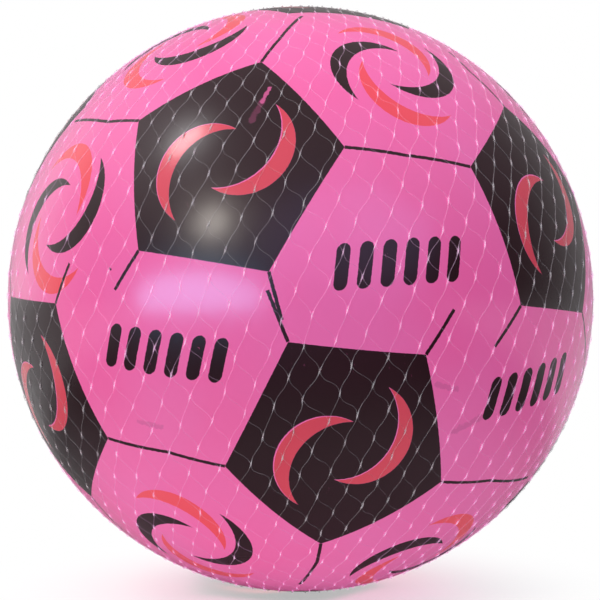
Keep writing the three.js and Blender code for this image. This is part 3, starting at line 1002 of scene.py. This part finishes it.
def skin_material():
    """Glossy pink vinyl with purple-black and coral ink.

    The pads are inked all over but for two crescents, which are filled with coral that was
    pressed on half a millimetre to one side. Ink is a little duller than bare vinyl.
    """
    material, w, shader = new_material("printed_vinyl", Coat_Roughness=0.14)
    filled = printed(w, PENTAGON, "pad", 0.25)
    spared = printed(w, CRESCENTS, "pad", 0.25, **PAD_CRESCENTS)
    pad_red = printed(w, CRESCENTS, "pad_red", 0.25, **PAD_CRESCENTS)
    swirl_red = printed(w, CRESCENTS, "swirl_red", **SWIRL_RED)
    dark = w.most(w.times(filled, w.minus(1.0, spared)),
                  printed(w, SEAM, "seam", 0.5), printed(w, SEAM, "seam_beside", 0.5),
                  printed(w, CRESCENTS, "swirl", **SWIRL_DARK), printed(w, BARS, "mark"),
                  streak(w, SPECK, 0.5))
    scuffs = w.use(SCUFFS, Place=w.where(), Amount=0.8)
    worn = w.most(scuffs["Streaks"], w.times(streak(w, SCRATCH, 0.8), 0.6),
                  w.times(streak(w, SCRATCH_TAIL, 1.3), 0.12))
    dark = w.times(dark, w.minus(1.0, worn))
    red = w.times(w.most(pad_red, swirl_red), w.minus(1.0, dark))

    smear = w.most(*(streak(w, ends, reach) for ends, reach in SMEARS))
    patchy = w.step(scuffs["Cloud"], 0.3, 0.7)
    vinyl = w.mix(w.times(smear, 0.22), w.tint(patchy, PINK), linear(GREY_SMEAR))
    coral = w.mix(pad_red, w.tint(patchy, SWIRL_CORAL), w.tint(patchy, PAD_CORAL))
    colour = w.mix(dark, w.mix(red, vinyl, coral), w.tint(patchy, BLACK))
    rough = w.plus(w.step(scuffs["Cloud"], 0.25, 0.75, 0.19, 0.25), w.times(dark, 0.07))
    height = w.plus(w.times(w.most(dark, red), 0.6), w.times(w.noise(w.where(), 420.0), 0.35))
    w.feed(shader, Base_Color=colour, Roughness=rough,
           Coat_Weight=w.minus(0.24, w.times(dark, 0.16)), Normal=w.bump(height, 0.25, 0.00004))
    return material


def strand_material(name, colours, thin, thick):
    """Clear white nylon: see-through along a strand, and whiter where it swells at a knot.

    The run map gives the share along a strand, and its knots are at 0 and 1. How much shows
    rises from thin to thick there, and wanders a little along the net. Over the pink skin,
    which the map's across value marks, a strand also has a painted pink glow: an emission
    that stands in for the skin's light seen through the clear nylon.
    """
    material, w, shader = new_material(name, Roughness=0.34, Emission_Strength=1.0)
    where, run = w.where(), w.parts(w.uv("run"))
    from_middle = w.math("ABSOLUTE", w.minus(run["Y"], 0.5))
    shown = w.plus(thin, w.times(w.step(from_middle, 0.3, 0.46), thick - thin))
    wander = w.step(w.noise(where, 120.0), 0.3, 0.7, 0.75, 1.15)
    w.feed(shader, Base_Color=w.tint(w.step(w.noise(where, 700.0), 0.3, 0.7), colours),
           # Emission Color is a painted glow: pink where the strand lies over bare vinyl, none
           # over the pads.
           Emission_Color=w.tint(run["X"], STRAND_PAINTED_GLOW), Alpha=w.times(shown, wander))
    return material


def soft_plastic(name, colours, rough):
    """Moulded plastic: a faint cloudiness of colour and a fine pebbled surface."""
    material, w, shader = new_material(name, Subsurface_Weight=0.1, Subsurface_Scale=0.002)
    where = w.where()
    cloud = w.noise(where, 240.0, 3.0)
    w.feed(shader, Base_Color=w.tint(w.step(cloud, 0.3, 0.7), colours),
           Roughness=w.step(cloud, 0.3, 0.7, rough - 0.05, rough + 0.07),
           Normal=w.bump(w.noise(where, 2600.0), 0.3, 0.00002))
    return material


def pressed_metal(name):
    """Rolled aluminium: fine lines along the band and small worn spots."""
    material, w, shader = new_material(name, Metallic=0.8)
    where = w.where()
    lines = w.noise(where, 900.0, 3.0, 0.6, (1.0, 1.0, 7.0))
    spots = w.noise(where, 500.0, 3.0)
    w.feed(shader, Base_Color=w.tint(w.step(spots, 0.35, 0.7), ALUMINIUM),
           Roughness=w.step(lines, 0.3, 0.7, 0.36, 0.52), Normal=w.bump(lines, 0.3, 0.00003))
    return material


def dress(piece, material, node, body="ball"):
    """Gives a piece its material, slot and body, and hides the CAD node that it stands for."""
    piece.data.materials.clear()
    piece.data.materials.append(material)
    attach(piece, body)
    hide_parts(node)


# The object

pads, pad_turns = pad_fields()
skin = skin_piece(pads, pad_turns, *panel_fields(pads))
dress(skin, skin_material(), "ball_skin")

net, knot_angle, knot_along = net_pieces(pads, pad_turns)
nylons = (strand_material("clear_nylon", CLEAR, 0.1, 0.28),
          strand_material("fine_nylon", CLEAR, 0.075, 0.14))
for strands, nylon in zip(net, nylons):
    dress(strands, nylon, "net_bag")
gathered_nylon = strand_material("gathered_nylon", GATHERED, 0.75, 0.85)
for name, neck, row in (("top_neck", TOP_NECK, -1), ("bottom_neck", BOTTOM_NECK, 0)):
    gathered = neck_strands(name, neck, knot_angle[row], knot_along[row])
    dress(gathered, gathered_nylon, "net_bag")

metal = pressed_metal("rolled_aluminium")
dress(clip_band("top_band", TOP_NECK), metal, "top_clip")
dress(clip_band("bottom_band", BOTTOM_NECK), metal, "bottom_clip")

dress(valve_sleeve(), soft_plastic("soft_vinyl", SOFT_VINYL, 0.4),
      "valve_sleeve")
dress(valve_plug(), soft_plastic("white_plastic", WHITE_PLASTIC, 0.42),
      "valve_plug", "plug")


# Floor, light and camera

FLOOR_WHITE = 0.93


def bare_wiring(owner):
    """The wiring of a material or a world, with its own nodes taken out."""
    owner.use_nodes = True
    owner.node_tree.nodes.clear()
    return Wiring(owner.node_tree)


def pale_floor():
    """A wide white floor that shows the ball's shadow near it and is pure white far away.

    What it throws on the ball and what the ball's gloss mirrors of it are set by themselves.
    The first falls off with distance and to the right. The second is dim, but for the far
    floor behind the ball and at its sides.
    """
    bpy.ops.mesh.primitive_plane_add(size=12)
    floor = bpy.context.object
    floor.name = "floor"
    material = bpy.data.materials.new("pale_floor")
    w = bare_wiring(material)
    path = w.node("ShaderNodeLightPath").outputs
    where = w.where()
    out, parts = w.vector("LENGTH", where), w.parts(where)
    round_back = w.plus(parts["Y"], w.math("ABSOLUTE", parts["X"]))
    mirrored = w.plus(w.step(out, 0.1, 0.3, 0.25, 0.04),
                      w.step(round_back, 0.22, 0.5, 0.0, 0.42))
    level = w.between(path["Is Glossy Ray"], FLOOR_WHITE, mirrored)
    paint = w.node("ShaderNodeBsdfDiffuse", {"Color": level})
    thrown = w.times(w.step(out, 0.1, 0.55, 1.0, 0.1), w.step(parts["X"], -0.3, 0.1, 1.6, 0.97))
    bright = w.node("ShaderNodeEmission", {
        "Color": WHITE, "Strength": w.between(path["Is Diffuse Ray"], 1.0, thrown)})
    far = w.step(out, 0.03, 0.14, 0.45, 1.0)
    share = w.plus(w.times(far, path["Is Camera Ray"]), path["Is Diffuse Ray"])
    mixed = w.node("ShaderNodeMixShader", {0: share, 1: paint.outputs[0], 2: bright.outputs[0]})
    w.node("ShaderNodeOutputMaterial", {"Surface": mixed.outputs[0]})
    floor.data.materials.append(material)


def surroundings():
    """A white room: brightest above and behind the ball, dimmer where the camera stands.

    The ball's gloss sees a darker room than its colours do, but for a brighter far left. The
    camera sees pure white.
    """
    world = bpy.data.worlds.new("studio")
    bpy.context.scene.world = world
    w = bare_wiring(world)
    parts = w.parts(w.node("ShaderNodeTexCoord").outputs["Generated"])
    path = w.node("ShaderNodeLightPath").outputs
    gloss = path["Is Glossy Ray"]
    front, back = w.between(gloss, 0.25, 0.03), w.between(gloss, 1.28, 0.38)
    near_back = w.most(w.step(parts["Y"], -0.3, 0.75), w.step(parts["Z"], 0.05, 0.85))
    level = w.times(w.between(near_back, front, back), w.step(parts["X"], -1.0, 1.0, 1.12, 0.94))
    left = w.times(w.step(parts["X"], -0.85, -0.3, 1.6, 0.0), gloss)
    level = w.plus(level, w.times(level, left))
    light = w.node("ShaderNodeBackground", {
        "Color": WHITE, "Strength": w.between(path["Is Camera Ray"], level, 1.0)})
    w.node("ShaderNodeOutputWorld", {"Surface": light.outputs[0]})


def softbox(name, heading, distance, size, watts, colour=WHITE[:3], diffuse=True,
            mirrored=True):
    """An area light at a distance from the ball's centre along a heading, facing the ball.

    With diffuse off it shows in the gloss only, and with mirrored off it lights colours only.
    """
    data = bpy.data.lights.new(name, "AREA")
    data.shape = "ELLIPSE"
    data.size, data.size_y = size
    data.energy, data.color = watts, colour
    lamp = bpy.data.objects.new(name, data)
    bpy.context.scene.collection.objects.link(lamp)
    lamp.visible_diffuse, lamp.visible_glossy = diffuse, mirrored
    away = Vector(unit(np.array(heading, float)))
    lamp.location = Vector(BALL_CENTRE) + away * distance
    lamp.rotation_euler = away.to_track_quat("Z", "Y").to_euler()


pale_floor()
surroundings()
softbox("window", (-0.56, -0.27, 0.78), 1.3, (0.2, 0.3), 1.8)
softbox("room", (-0.5, -0.75, 0.44), 1.6, (0.3, 0.27), 4.7, (1.0, 0.93, 0.84))
softbox("sky", (-0.6, -0.8, 0.01), 1.7, (1.5, 0.5), 15.0, (0.24, 0.66, 1.0), diffuse=False)
softbox("haze", (0.28, -0.88, 0.38), 1.7, (2.1, 1.1), 4.8, (0.5, 0.52, 1.0), diffuse=False)
softbox("far_sky", (0.35, -0.8, 0.4), 1.7, (1.4, 0.5), 4.6, (0.42, 0.6, 1.0), mirrored=False)

CAMERA_DISTANCE = 0.575
PICTURE_WIDTH = 600
FOCAL_PIXELS = 1433.4
camera_data = bpy.data.cameras.new("camera")
camera_data.sensor_width = 36.0
camera_data.lens = FOCAL_PIXELS / PICTURE_WIDTH * camera_data.sensor_width
camera_data.shift_x = -0.5 / PICTURE_WIDTH
camera_data.shift_y = -1.0 / PICTURE_WIDTH
camera = bpy.data.objects.new("camera", camera_data)
camera.location = (0.0, -CAMERA_DISTANCE, float(BALL_CENTRE[2]))
camera.rotation_euler = (math.pi / 2, 0.0, 0.0)
bpy.context.scene.collection.objects.link(camera)
bpy.context.scene.camera = camera
bpy.context.scene.view_settings.view_transform = "Standard"
